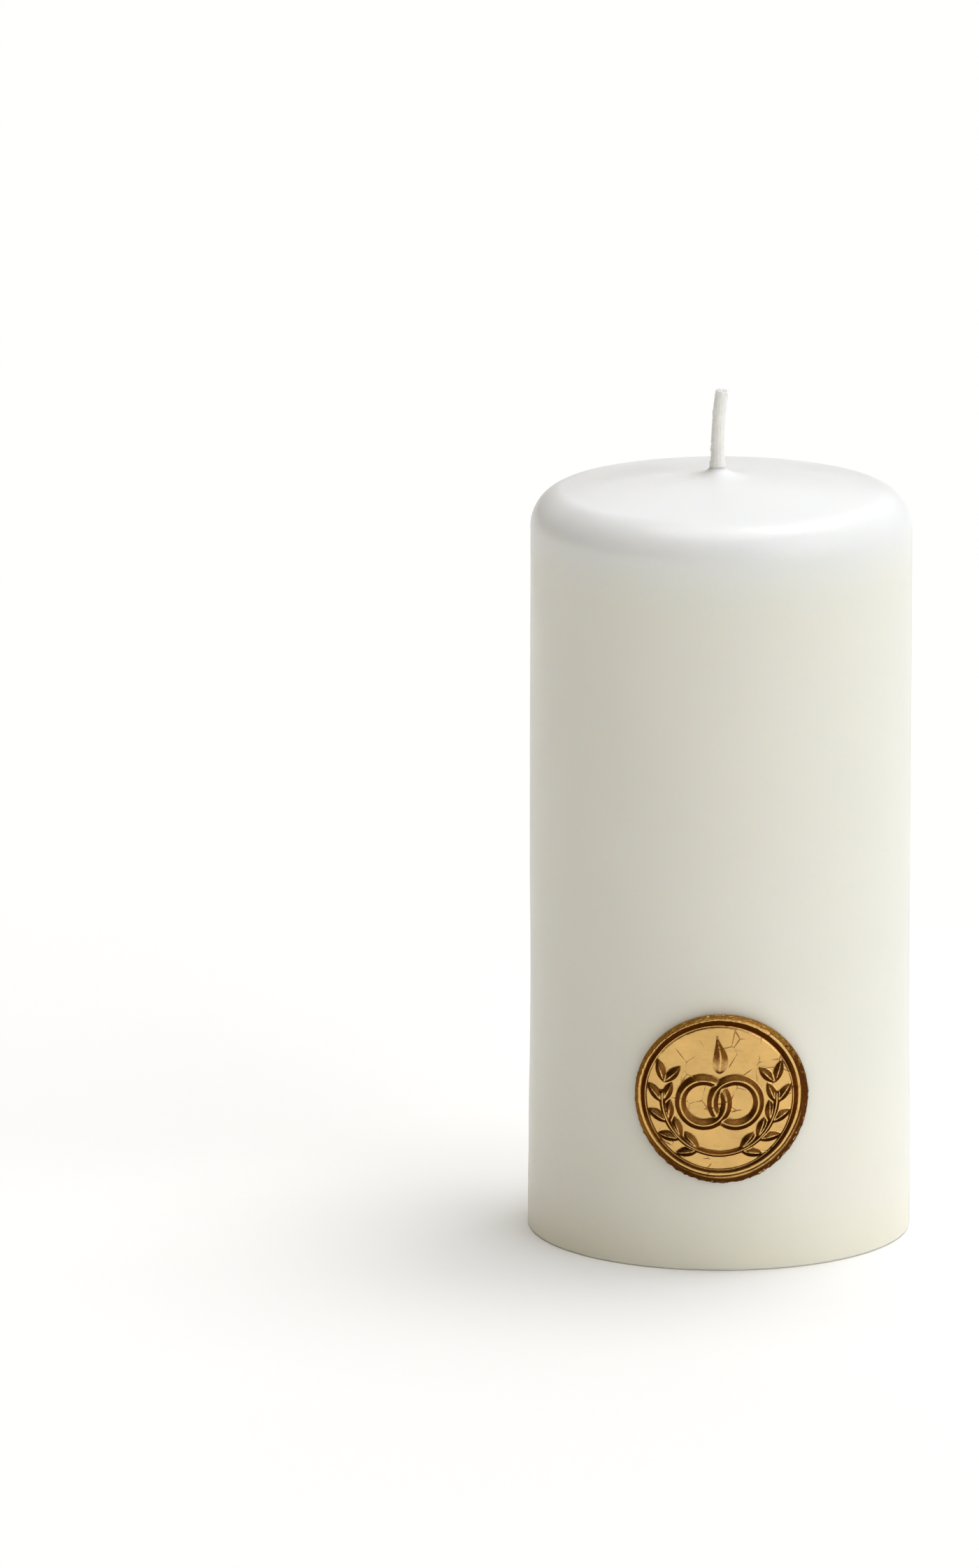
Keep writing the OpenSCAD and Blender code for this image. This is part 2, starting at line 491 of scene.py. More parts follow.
def core_wax(sizes):
    """Softer scented wax: matt, cream, with frosty patches and a cut, crumbly base."""
    paint = Paint("scented_core_wax")
    frost = Signal(paint, paint.cells(3.5, "DISTANCE_TO_EDGE", "Distance"))
    cloud = paint.noise(9, detail=4)
    crumbs = paint.noise(0.8, detail=4, rough=0.6)
    tone = paint.blend(cloud.ease(0.35, 0.65), sizes.core, [0.93 * c for c in sizes.core])
    tone = paint.blend((1 - frost.ease(0.0, 0.25)) * 0.35, tone, (0.95, 0.93, 0.87))
    return paint.finish(
        Base_Color=tone,
        Roughness=0.58 + 0.2 * crumbs,
        Normal=paint.bump((frost, 0.04), (crumbs, 0.06)),
        Subsurface_Weight=0.5,
        Subsurface_Radius=(1.0, 0.8, 0.5),
        Subsurface_Scale=1.5 * MM,
    )


def waxed_cotton(sizes):
    """Braided cotton soaked in wax: fibres along the braid, with glossier wax between them."""
    paint = Paint("waxed_cotton")
    fibres = paint.noise(0.22, detail=3, stretch=(1, 1, 0.12))
    fuzz = paint.noise(0.12, detail=2, shift=(5, 1, 2))
    wax = paint.noise(1.6, detail=2).ease(0.42, 0.62)
    height = paint.axes(paint.place())[2]
    hill_top = HILL_TOP / MM
    dipped = 1 - height.ease(hill_top, hill_top + 3)
    tone = paint.blend(fibres.ease(0.3, 0.7), [0.93 * c for c in sizes.colour], sizes.colour)
    tone = paint.blend(0.6 * wax, tone, (0.96, 0.96, 0.935))
    tone = paint.blend(0.9 * dipped, tone, (0.975, 0.97, 0.94))
    return paint.finish(
        Base_Color=tone,
        Roughness=0.75 - 0.35 * wax,
        Normal=paint.bump(((1 - wax) * fibres, 0.08), (fuzz, 0.02)),
        Subsurface_Weight=0.9,
        Subsurface_Radius=(1.0, 0.95, 0.85),
        Subsurface_Scale=0.8 * MM,
        Sheen_Weight=0.1,
    )


def seal_flanks(paint, place):
    """1 on the seal's flanks and 0 where it faces out of the candle, and the piece's own normal."""
    across, depth, _ = paint.axes(place)
    outwards = paint.add("ShaderNodeVectorMath", {"operation": "NORMALIZE"}, {
        0: paint.add("ShaderNodeCombineXYZ", {}, {0: across, 1: depth}).outputs[0]})
    surface = paint.add("ShaderNodeNewGeometry").outputs["Normal"]
    normal = paint.add(
        "ShaderNodeVectorTransform",
        {"vector_type": "NORMAL", "convert_from": "WORLD", "convert_to": "OBJECT"},
        {"Vector": surface}).outputs["Vector"]
    level = Signal(paint, paint.add("ShaderNodeVectorMath", {"operation": "DOT_PRODUCT"}, {
        0: outwards.outputs[0], 1: normal}).outputs["Value"])
    wobble = paint.noise(0.5, detail=3, rough=0.6)
    return 1 - (level + 0.05 * (wobble - 0.5)).ease(0.86, 0.965), normal


def seal_creases(paint):
    """Hair-thin cracks, in patches, where the wax shrank as it cooled."""
    warp = paint.noise(2.2, detail=3, shift=(1, 8, 3))
    crack = Signal(paint, paint.cells(4.2, "DISTANCE_TO_EDGE", "Distance", shift=(2, 0, 6)))
    crack = 1 - (crack + 0.10 * (warp - 0.5)).ease(0.0, 0.022)
    return crack * paint.noise(6.5, detail=1, shift=(4, 4, 9)).ease(0.50, 0.58)


def painted_flank_light_and_shade(paint, sizes, place, normal):
    """Painted shade and reflection on the flanks, in browns: darkest where they face down or right, with
    painted light where the rim's flanks face up.
    """
    streak = paint.noise(0.6, detail=4, rough=0.65, shift=(7, 3, 5))
    brown = paint.blend(streak.ease(0.52, 0.72), sizes.flank_shade, [1.8 * c for c in sizes.flank_shade])
    across, _, height = paint.axes(place)
    rise = height - SEAL_Z / MM
    reach = (across * across + rise * rise).power(0.5)
    field = sizes.field / MM
    on_rim = 0.12 + 0.88 * reach.ease(field + 0.2, field + 0.8)
    sideways, _, upwards = paint.axes(normal)
    # Painted shade: flanks that face down, and rim flanks that face right, are darkened further.
    painted_shade = (0 - upwards).ease(0.1, 0.5) + on_rim * sideways.ease(0.3, 0.7)
    brown = paint.blend(0.85 * painted_shade, brown, [0.4 * c for c in sizes.flank_shade])
    # Painted light: flanks that face up, and rim flanks that face left, are lightened, mostly on the rim.
    lit = upwards.ease(0.22, 0.62) + 0.35 * (0 - sideways).ease(0.45, 0.9)
    grain = paint.noise(0.28, detail=3, rough=0.7, shift=(2, 6, 1))
    return paint.blend(lit * on_rim * (0.35 + 0.75 * grain.ease(0.35, 0.65)), brown, sizes.flank_highlight)


def gold_wax(sizes):
    """Gold sealing wax: bright where it faces out, with hairlines and creases; painted shade and reflection
    in browns on its flanks, painted light where the rim's flanks face up, and painted shade in its cracks
    and pits.
    """
    paint = Paint("gold_sealing_wax")
    place = paint.place()
    flank, normal = seal_flanks(paint, place)
    cloud = paint.noise(5, detail=4, rough=0.6)
    tone = paint.blend(cloud.ease(0.3, 0.72), sizes.gold, [min(1, 1.18 * c) for c in sizes.gold])
    smudge = paint.noise(2.4, detail=5, rough=0.65, stretch=(0.6, 1, 1.6), shift=(9, 2, 4))
    tone = paint.blend(0.4 * smudge.ease(0.6, 0.75), tone, (0.46, 0.25, 0.08))
    hairs = paint.noise(0.16, detail=2, stretch=(0.09, 0.09, 1))
    tone = paint.blend(0.35 * hairs.ease(0.60, 0.78), tone, (0.42, 0.22, 0.06))
    crack = seal_creases(paint)
    # Painted shade: the cracks are darkened where shade falls in them.
    tone = paint.blend(0.75 * crack, tone, (0.22, 0.09, 0.015))
    # Painted shade: the pits are darkened where shade falls in them.
    pits = specks(paint, 1.1, 0.14, 0.09)
    tone = paint.blend(0.7 * pits, tone, (0.2, 0.08, 0.01))
    # The flanks take painted shade and reflection in browns in place of the gold.
    tone = paint.blend(flank, tone, painted_flank_light_and_shade(paint, sizes, place, normal))
    grit = paint.noise(0.22, detail=3, rough=0.7)
    return paint.finish(
        Base_Color=tone,
        Metallic=1.0,
        Roughness=0.17 + 0.12 * cloud + 0.12 * flank,
        Normal=paint.bump(
            (cloud, 0.10), (smudge, 0.05), (hairs, 0.012), (1 - crack, 0.05), (1 - pits, 0.04),
            (grit * flank, 0.06)),
        Specular_Tint=(0.75, 0.45, 0.16, 1.0),
        Coat_Weight=0.3 - 0.25 * flank,
        Coat_Roughness=0.1,
    )


def sticky_wax(sizes):
    """Soft amber wax, pressed flat, with finger-worked blobs."""
    paint = Paint("sticky_wax")
    blobs = paint.noise(2.5, detail=3)
    tone = paint.blend(blobs.ease(0.3, 0.7), sizes.film, [1.3 * c for c in sizes.film])
    return paint.finish(
        Base_Color=tone,
        Roughness=0.35 + 0.2 * blobs,
        Normal=paint.bump((blobs, 0.1)),
        Subsurface_Weight=0.4,
        Subsurface_Radius=(1.0, 0.6, 0.3),
        Subsurface_Scale=1.0 * MM,
    )


def tinned_steel(sizes):
    """Bright tin plate with rolling lines, dull blooms and fine scratches."""
    paint = Paint("tinned_steel")
    rolling = paint.noise(0.25, detail=3, stretch=(1, 0.03, 1))
    bloom = paint.noise(4, detail=4)
    scratches = paint.noise(0.2, detail=2, stretch=(0.05, 1, 1), shift=(3, 3, 3)).ease(0.66, 0.74)
    tone = paint.blend(bloom.ease(0.4, 0.7), sizes.tin, [0.8 * c for c in sizes.tin])
    return paint.finish(
        Base_Color=tone,
        Metallic=1.0,
        Roughness=0.2 + 0.2 * bloom + 0.1 * rolling,
        Normal=paint.bump((rolling, 0.01), (1 - scratches, 0.01)),
    )


def floor_paint(glow):
    """White paper that is lit from below as well."""
    paint = Paint("studio_paper")
    fibre = paint.noise(3, detail=2)
    return paint.finish(
        Base_Color=paint.blend(fibre, (0.93, 0.93, 0.93), (0.94, 0.94, 0.94)),
        Roughness=0.8,
        Emission_Color=(1.0, 0.95, 0.82, 1.0),
        Emission_Strength=glow,
    )


# ---------------------------------------------------------------- coat

class CoatForm:
    """The coat's outline: a dome on a sphere, a round shoulder, an upright side and a round foot."""

    def __init__(self, sizes):
        self.sizes = sizes
        rise = sizes.dome_rise
        self.dome_r = (BODY_R ** 2 + rise ** 2) / (2 * rise)
        self.dome_z = DOME_TOP - self.dome_r
        self.shoulder_x = BODY_R - sizes.shoulder
        reach = self.dome_r - sizes.shoulder
        self.shoulder_z = self.dome_z + math.sqrt(reach ** 2 - self.shoulder_x ** 2)
        self.turn = math.asin(self.shoulder_x / reach)

    def dome(self, radius, inset=0.0):
        """Height of the dome at a radius."""
        return self.dome_z + math.sqrt((self.dome_r - inset) ** 2 - radius ** 2)

    def hill(self, radius):
        """Height of the outer surface at a radius on the hill that climbs the wick."""
        share = max(0.0, (self.sizes.hill - radius) / (self.sizes.hill - WICK_R))
        top = HILL_TOP - self.dome(WICK_R)
        return self.dome(radius) + top * (0.45 * share ** 2 + 0.55 * share ** 5)

    def over(self, start, inset, steps):
        """Points from a radius on the dome, over the shoulder, to the top of the side."""
        dome_r = self.dome_r - inset
        first = math.asin(start / dome_r)
        points = arc((0, self.dome_z), dome_r, first, self.turn, steps)
        shoulder = arc((self.shoulder_x, self.shoulder_z), self.sizes.shoulder - inset,
                       self.turn, math.pi / 2, steps)
        return points + shoulder[1:]

    def outline(self):
        """The whole cut through the coat, as points from under the wick outwards and back.

        The wax goes on under the wick, all but a pin hole, so that light spreads there too.
        """
        sizes = self.sizes
        hill_steps, side_rows, inner_rows = 22, 92, 6
        inner_gap = 0.03 * MM
        pin = 0.25 * MM
        wall = COAT_T - inner_gap
        hill = [WICK_R + (sizes.hill - WICK_R) * (i / hill_steps) ** 1.4 for i in range(hill_steps)]
        cap = HILL_TOP - 0.05 * MM
        points = [(pin, cap), (0.9 * WICK_R, cap)] + [(r, self.hill(r)) for r in hill]
        points += self.over(sizes.hill, 0.0, 22)
        top, bottom = self.shoulder_z, sizes.foot
        points += [(BODY_R, top + (bottom - top) * i / side_rows) for i in range(1, side_rows)]
        points += arc((BODY_R - sizes.foot, sizes.foot), sizes.foot, math.pi / 2, math.pi, 8)
        inside = BODY_R - wall
        points += [(inside, top * i / inner_rows) for i in range(inner_rows)]
        points += reversed(self.over(WICK_R, wall, 10))
        points += [(pin, self.dome(pin, wall))]
        return [(r, 0.0, z) for r, z in points]

    def depth(self, place):
        """How far a point lies under the outer surface."""
        radius = math.hypot(place.x, place.y)
        if place.z < self.shoulder_z:
            return BODY_R - radius
        above = place.z - self.dome_z
        if math.atan2(radius, above) < self.turn:
            return self.dome_r - math.hypot(radius, above)
        corner = math.hypot(radius - self.shoulder_x, place.z - self.shoulder_z)
        return self.sizes.shoulder - corner


def near_seal(place):
    """1 under the seal and beside it, fading to 0, on the front of the candle."""
    if place.y > 0:
        return 0.0
    return 1 - ease(SEAL_R, 1.5 * SEAL_R, math.hypot(place.x, place.z - SEAL_Z))


class CANDLE_OT_coat(bpy.types.Operator):
    """Builds the overdipped coat as one closed shell"""

    bl_idname = "candle.coat"
    bl_label = "Overdipped coat"

    def execute(self, context):
        sizes = context.scene.candle_coat
        form = CoatForm(sizes)
        coat = chain("wax_coat", form.outline(), closed=True)
        turn(coat, (0, 0, 0), 2 * math.pi, sizes.segments)

        bpy.ops.object.mode_set(mode="EDIT")
        pick(coat, lambda place: math.hypot(place.x, place.y) < 1.05 * WICK_R)
        bpy.ops.transform.translate(
            value=(WICK_X, 0, 0), use_proportional_edit=True,
            proportional_edit_falloff="SMOOTH", proportional_size=2.2 * sizes.hill)
        bpy.ops.object.mode_set(mode="OBJECT")

        def outer(place):
            return 1.0 if form.depth(place) < COAT_T / 2 else 0.0

        def rippled(place):
            clear = ease(0.0, 20 * MM, place.z) * (1 - near_seal(place))
            hill = ease(1.0, 2.0, math.hypot(place.x - WICK_X, place.y) / WICK_R)
            return outer(place) * clear * hill

        def slim(place):
            return outer(place) * ease(20 * MM, 42 * MM, place.z) * (1 - near_seal(place))

        weigh(coat, "rippled", rippled)
        weigh(coat, "slim", slim)
        finish_with(coat, "DISPLACE", strength=-sizes.waist, mid_level=0.0, vertex_group="slim")
        finish_with(coat, "DISPLACE", texture=clouds("dip_waves", 22 * MM), strength=-sizes.ripple,
                    mid_level=0.0, vertex_group="rippled", texture_coords="LOCAL")
        coat.vertex_groups.clear()
        smooth(coat, math.radians(40))
        coat.data.materials.append(coat_wax(sizes))
        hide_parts("overdip_coat")
        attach(coat, "root")
        return {"FINISHED"}


# ---------------------------------------------------------------- wick

class CANDLE_OT_wick(bpy.types.Operator):
    """Builds the braided wick, with lumps of wax and a frayed end"""

    bl_idname = "candle.wick"
    bl_label = "Braided wick"

    def execute(self, context):
        sizes = context.scene.candle_wick
        rng = random.Random(7)
        bend_z = HILL_TOP + sizes.straight
        lean = sizes.lean
        bend_r = (WICK_HIGH.z - bend_z - WICK_R * math.sin(lean)) / math.sin(lean)
        fray = 0.45 * MM
        top = bend_z + bend_r * lean - fray
        hidden_rows, free_rows, sides = 150, 120, 48
        nudge = 0.01 * MM
        braid_r = 0.96 * WICK_R
        collar, collar_low, collar_fade = 0.4 * MM, HILL_TOP - 0.6 * MM, 1.1 * MM

        clear_selection()
        length = HILL_TOP - 3 * MM - WICK_LOW.z
        bpy.ops.mesh.primitive_cylinder_add(
            vertices=sides, radius=braid_r, depth=length,
            location=(WICK_X, 0, WICK_LOW.z + length / 2))
        wick = begin("braided_wick")
        self.cut_rows(wick, hidden_rows, -length / 2, length / 2)
        pick(wick, lambda place: place.z > length / 2 - nudge)
        bpy.ops.mesh.extrude_region_move(
            TRANSFORM_OT_translate={"value": (0, 0, top - WICK_LOW.z - length)})
        self.cut_rows(wick, free_rows, length / 2, top - WICK_LOW.z - length / 2)
        pick(wick, lambda place: place.z > top - WICK_LOW.z - length / 2 - nudge)
        for share in (0.25, 0.45):
            bpy.ops.mesh.inset(thickness=share * WICK_R, use_boundary=True)
        bpy.ops.mesh.select_all(action="SELECT")
        bpy.ops.mesh.normals_make_consistent(inside=False)
        settle(wick)

        def braid(place):
            side = math.atan2(place.y, place.x - WICK_X)
            radius = math.hypot(place.y, place.x - WICK_X)
            turns = sizes.strands * side / (2 * math.pi)
            climb = sizes.strands * place.z / sizes.lay
            strand = math.cos(2 * math.pi * (turns + climb)) * math.cos(2 * math.pi * (turns - climb))
            lump = noise.noise(Vector((place.x, place.y, 0.6 * place.z)) / (0.9 * MM))
            lump = max(0.0, lump) * (1.0 - 0.45 * math.cos(side))
            fibre = noise.noise(Vector((place.x, place.y, 0.2 * place.z)) / (0.25 * MM) + Vector((9, 0, 0)))
            swell = sizes.relief * strand + sizes.lumps * lump + 0.05 * MM * fibre
            flare = ease(top - 0.6 * MM, top, place.z) ** 2 * (0.14 + 0.26 * math.cos(side)) * WICK_R
            free = ease(HILL_TOP - 2 * MM, HILL_TOP, place.z)
            swell = free * swell + (1 - free) * min(swell, 0.0)
            wax = collar * free * math.exp(-max(0.0, place.z - collar_low) / collar_fade)
            grown = radius + radius / braid_r * (swell + flare + wax)
            height = place.z + ease(top - 0.4 * MM, top, place.z) * 0.3 * MM * fibre
            return self.bent(side, grown, height, bend_z, bend_r)

        reshape(wick, braid)

        ends = []
        for _ in range(sizes.fibres):
            side = rng.uniform(-math.pi, math.pi)
            radius = WICK_R * math.sqrt(rng.uniform(0.05, 1.0)) * (0.9 + 0.15 * math.cos(side))
            reach = rng.uniform(0.35, 0.9) * MM
            clear_selection()
            bpy.ops.mesh.primitive_cone_add(
                vertices=6, radius1=rng.uniform(0.07, 0.12) * MM, radius2=0.025 * MM, depth=reach,
                location=self.bent(side, radius, top - 0.1 * MM, bend_z, bend_r),
                rotation=(rng.uniform(-0.5, 0.5), 0.35 * math.cos(side) + rng.uniform(-0.3, 0.5), 0))
            ends.append(settle(bpy.context.active_object))
        wick = join("braided_wick", [wick] + ends)
        ceiling = CAD_BOUNDS[1].z - 0.02 * MM
        reshape(wick, lambda place: Vector((place.x, place.y, min(place.z, ceiling))))
        smooth(wick, math.radians(60))
        wick.data.materials.append(waxed_cotton(sizes))
        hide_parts("wick")
        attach(wick, "root")
        return {"FINISHED"}

    @staticmethod
    def cut_rows(wick, rows, low, high):
        """Cuts the upright edges between two heights into rows."""
        mesh = bmesh.from_edit_mesh(wick.data)
        for edge in mesh.edges:
            ends = sorted(vertex.co.z for vertex in edge.verts)
            edge.select = ends[1] - ends[0] > 0.9 * (high - low) and ends[0] > low - 0.01 * MM
        bmesh.update_edit_mesh(wick.data)
        bpy.ops.mesh.select_mode(type="EDGE")
        upright = [edge.index for edge in mesh.edges if edge.select]
        bpy.ops.mesh.select_all(action="DESELECT")
        mesh = bmesh.from_edit_mesh(wick.data)
        mesh.edges.ensure_lookup_table()
        for index in upright:
            mesh.edges[index].select_set(True)
        bmesh.update_edit_mesh(wick.data)
        bpy.ops.mesh.subdivide(number_cuts=rows)
        bpy.ops.mesh.select_mode(type="VERT")

    @staticmethod
    def bent(side, radius, height, bend_z, bend_r):
        """Where a point on the straight braid lies once the tip leans over."""
        across, along = radius * math.cos(side), radius * math.sin(side)
        if height <= bend_z:
            return Vector((WICK_X + across, along, height))
        angle = (height - bend_z) / bend_r
        reach = bend_r - across
        return Vector((WICK_X + bend_r - reach * math.cos(angle), along,
                       bend_z + reach * math.sin(angle)))


# ---------------------------------------------------------------- seal

class SealForm:
    """Places on the seal while it is still flat: x to the right, y up, z out of the candle."""

    def __init__(self, sizes):
        self.sizes = sizes
        self.stamp = Vector((-sizes.offset, sizes.offset, 0))
        self.rise = sizes.relief
        self.sunk = -0.5 * MM
        field = 2 * sizes.field
        self.ring_r = 0.385 * field / 2 - sizes.stroke / 2
        self.ring_pitch = 0.56 * 0.385 * field
        self.ring_y = -0.03 * field
        self.flame_y = 0.17 * field
        self.flame_l = 0.26 * field
        self.flame_w = 0.13 * field
        self.sprig_r = 0.385 * field
        self.stem_w = 0.034 * field
        self.leaf_l = 0.16 * field
        self.leaf_w = 0.07 * field

    def medal(self):
        """The blank: a disc with a raised rim, whose edge flows out onto the candle."""
        sizes, back = self.sizes, BODY_R - SEAL_BACK
        field, face, rim = sizes.field, sizes.face, SEAL_RIM - SEAL_BACK - 0.06 * MM
        crest, brow = field + 0.75 * MM, field + 1.4 * MM
        cut = [
            (0.0, 0.0), (FILM_R + 0.1 * MM, 0.0), (FILM_R + 0.2 * MM, back), (SEAL_R, back),
            (SEAL_R, 0.25 * MM), (SEAL_R - 0.12 * MM, 0.8 * MM), (brow + 0.4 * MM, rim - 0.85 * MM),
            (brow + 0.08 * MM, rim - 0.3 * MM), (brow - 0.05 * MM, rim),
            (crest + 0.1 * MM, rim), (crest, rim - 0.08 * MM),
            (field + 0.25 * MM, face + 0.3 * MM), (field + 0.1 * MM, face - 0.1 * MM),
            (field - 0.15 * MM, face - 0.15 * MM), (field - 0.35 * MM, face), (0.0, face)]
        blank = chain("seal_blank", [(r, 0.0, h) for r, h in cut], closed=False)
        turn(blank, (0, 0, 0), 2 * math.pi, 180)

        def landed(place):
            radius = math.hypot(place.x, place.y)
            if place.z <= 0.2 * MM:
                return place.copy()
            inside = 1 - ease(brow, SEAL_R, radius)
            tipped = inside * ease(field + 0.3 * MM, crest, radius)
            moved = place + inside * self.stamp + Vector((0, tipped * sizes.tip, 0))
            edge = math.hypot(moved.x, moved.y)
            room = SEAL_R - 0.1 * MM - 0.12 * max(0.0, place.z - 0.5 * MM)
            if edge > room:
                moved.x, moved.y = moved.x * room / edge, moved.y * room / edge
            low = 0.5 - 0.5 * moved.y / SEAL_R
            moved.z -= low * sizes.droop * ease(face + 0.1 * MM, rim, place.z)
            return moved

        reshape(blank, landed)
        return blank

    def ridge(self, width):
        """Cut through a stroke: a roof with a narrow flat crest, sunk into the field."""
        crest = 0.12 * MM
        half = width / 2
        foot = self.sizes.face + self.sunk
        top = self.sizes.face + self.rise
        return [(-half, foot), (-half, self.sizes.face), (-crest, top), (crest, top),
                (half, self.sizes.face), (half, foot)]

    def ring(self, side):
        """One of the two linked rings. It passes over its partner once and under it once."""
        middle = self.stamp + Vector((side * self.ring_pitch / 2, self.ring_y, 0))
        cut = [(middle.x + self.ring_r + across, middle.y, height)
               for across, height in self.ridge(self.sizes.stroke)]
        ring = chain("seal_ring", cut, closed=True)
        turn(ring, middle, 2 * math.pi, 120)
        crossing = math.acos(min(1.0, self.ring_pitch / 2 / self.ring_r))
        lift, reach = 0.28 * MM, 0.36

        def woven(place):
            angle = math.atan2(place.y - middle.y, -side * (place.x - middle.x))
            over = math.exp(-((angle - side * crossing) / reach) ** 2)
            under = math.exp(-((angle + side * crossing) / reach) ** 2)
            top = place.z > self.sizes.face + 0.5 * self.rise
            return place + Vector((0, 0, lift * (0.35 * over - 1.6 * under) if top else 0))

        reshape(ring, woven)
        return ring

    def leaf(self, name, length, width, round_end=0.0):
        """A pointed oval with a crest along it, from the origin along +x."""
        clear_selection()
        bpy.ops.mesh.primitive_uv_sphere_add(segments=4, ring_count=20, radius=1.0,
                                             rotation=(0, math.pi / 2, 0))
        leaf = settle(bpy.context.active_object)
        leaf.name = name

        def pointed(place):
            along = min(1.0, max(-1.0, place.x))
            taper = math.sqrt(1 - along ** 2) ** (1 - round_end if along < 0 else 1)
            belly = 1 - round_end * 0.45 * (1 + along)
            return Vector((
                length / 2 * (1 + along), width / 2 * place.y * taper * belly,
                self.sizes.face + self.rise * place.z * taper ** 0.7))

        reshape(leaf, pointed)
        return leaf

    def placed(self, piece, middle, angle, mirrored):
        """A copy of a piece with its own mesh, turned and moved on the flat seal."""
        copy = piece.copy()
        copy.data = piece.data.copy()
        bpy.context.scene.collection.objects.link(copy)
        turned = Vector((math.cos(angle), math.sin(angle), 0))
        flip = -1 if mirrored else 1

        def rule(place):
            x = middle.x + place.x * turned.x - place.y * turned.y
            y = middle.y + place.x * turned.y + place.y * turned.x
            return Vector((self.stamp.x + flip * x, self.stamp.y + y, place.z))

        reshape(copy, rule)
        if mirrored:
            copy.data.flip_normals()
        return copy

    def sprigs(self):
        """Two laurel sprigs that climb the sides from below."""
        leaf_n, first, step, splay = 5, math.radians(-80), math.radians(21), math.radians(30)
        cut = [(self.stamp.x + (self.sprig_r + across) * math.cos(first),
                self.stamp.y + (self.sprig_r + across) * math.sin(first), height)
               for across, height in self.ridge(self.stem_w)]
        stem = chain("seal_stem", cut, closed=True)
        bpy.ops.mesh.edge_face_add()
        turn(stem, self.stamp, leaf_n * step, 48)
        other = stem.copy()
        other.data = stem.data.copy()
        bpy.context.scene.collection.objects.link(other)
        reshape(other, lambda place: Vector((2 * self.stamp.x - place.x, place.y, place.z)))
        other.data.flip_normals()
        leaf = self.leaf("laurel_leaf", self.leaf_l, self.leaf_w)
        made = [stem, other]
        for i in range(leaf_n):
            angle = first + (i + 0.5) * step
            foot = self.sprig_r * Vector((math.cos(angle), math.sin(angle), 0))
            for splay_side in (-1, 1):
                heading = angle + math.pi / 2 + splay_side * splay
                for mirrored in (False, True):
                    made.append(self.placed(leaf, foot, heading, mirrored))
        bpy.data.objects.remove(leaf)
        return made

    def flame(self):
        """A candle flame over the rings."""
        flame = self.leaf("flame", self.flame_l, 1.35 * self.flame_w, round_end=1.0)

        def licked(place):
            share = place.x / self.flame_l
            bow = 0.5 * MM * math.sin(1.6 * math.pi * share) * share
            return Vector((self.stamp.x - place.y + bow, self.stamp.y + self.flame_y + place.x, place.z))

        reshape(flame, licked)
        return flame

    def wrapped(self, place):
        """Where a flat point lies on the candle's side."""
        radius = SEAL_BACK + place.z
        return Vector((place.x, -math.sqrt(radius ** 2 - place.x ** 2), SEAL_Z + place.y))


class CANDLE_OT_seal(bpy.types.Operator):
    """Builds the gold seal flat, melts its strokes into one piece and lays it on the candle"""

    bl_idname = "candle.seal"
    bl_label = "Gold seal"

    def execute(self, context):
        sizes = context.scene.candle_seal
        form = SealForm(sizes)
        parts = [form.medal(), form.ring(-1), form.ring(1), form.flame()] + form.sprigs()
        seal = join("gold_seal", parts)
        finish_with(seal, "REMESH", mode="VOXEL", voxel_size=sizes.voxel, use_smooth_shade=True)
        finish_with(seal, "SMOOTH", factor=0.5, iterations=2)

        def front(place):
            return ease(0.5 * MM, 1.2 * MM, place.z)

        def edge(place):
            radius = math.hypot(place.x, place.y)
            return ease(SEAL_R - 1.1 * MM, SEAL_R - 0.2 * MM, radius) * ease(-0.2 * MM, 0.3 * MM, place.z)

        weigh(seal, "front", front)
        weigh(seal, "edge", edge)
        finish_with(seal, "DISPLACE", texture=clouds("pressed_waves", 3.5 * MM), strength=0.12 * MM,
                    mid_level=0.5, vertex_group="front", texture_coords="LOCAL")
        finish_with(seal, "DISPLACE", texture=clouds("ragged_edge", 0.9 * MM, 4), strength=0.65 * MM,
                    mid_level=0.5, vertex_group="edge", texture_coords="LOCAL")
        seal.vertex_groups.clear()
        ceiling = SEAL_RIM - SEAL_BACK - 0.01 * MM
        floor = BODY_R - SEAL_BACK

        def kept(place):
            place.z = min(ceiling, max(floor, place.z))
            return form.wrapped(place)

        reshape(seal, kept)
        smooth(seal, math.radians(75))
        seal.data.materials.append(gold_wax(sizes))
        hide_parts("seal")
        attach(seal, "root")
        return {"FINISHED"}


# ---------------------------------------------------------------- inner pieces

class CANDLE_OT_inside(bpy.types.Operator):
    """Gives the core, the sustainer and the sticky wax their finishes"""

    bl_idname = "candle.inside"
    bl_label = "Inner pieces"

    def execute(self, context):
        sizes = context.scene.candle_inside
        finishes = {
            "wax_core": core_wax(sizes),
            "wick_sustainer": tinned_steel(sizes),
            "sticky_wax": sticky_wax(sizes),
        }
        for node, material in finishes.items():
            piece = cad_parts[node]
            piece.data.materials.clear()
            piece.data.materials.append(material)
        return {"FINISHED"}


# ---------------------------------------------------------------- stage

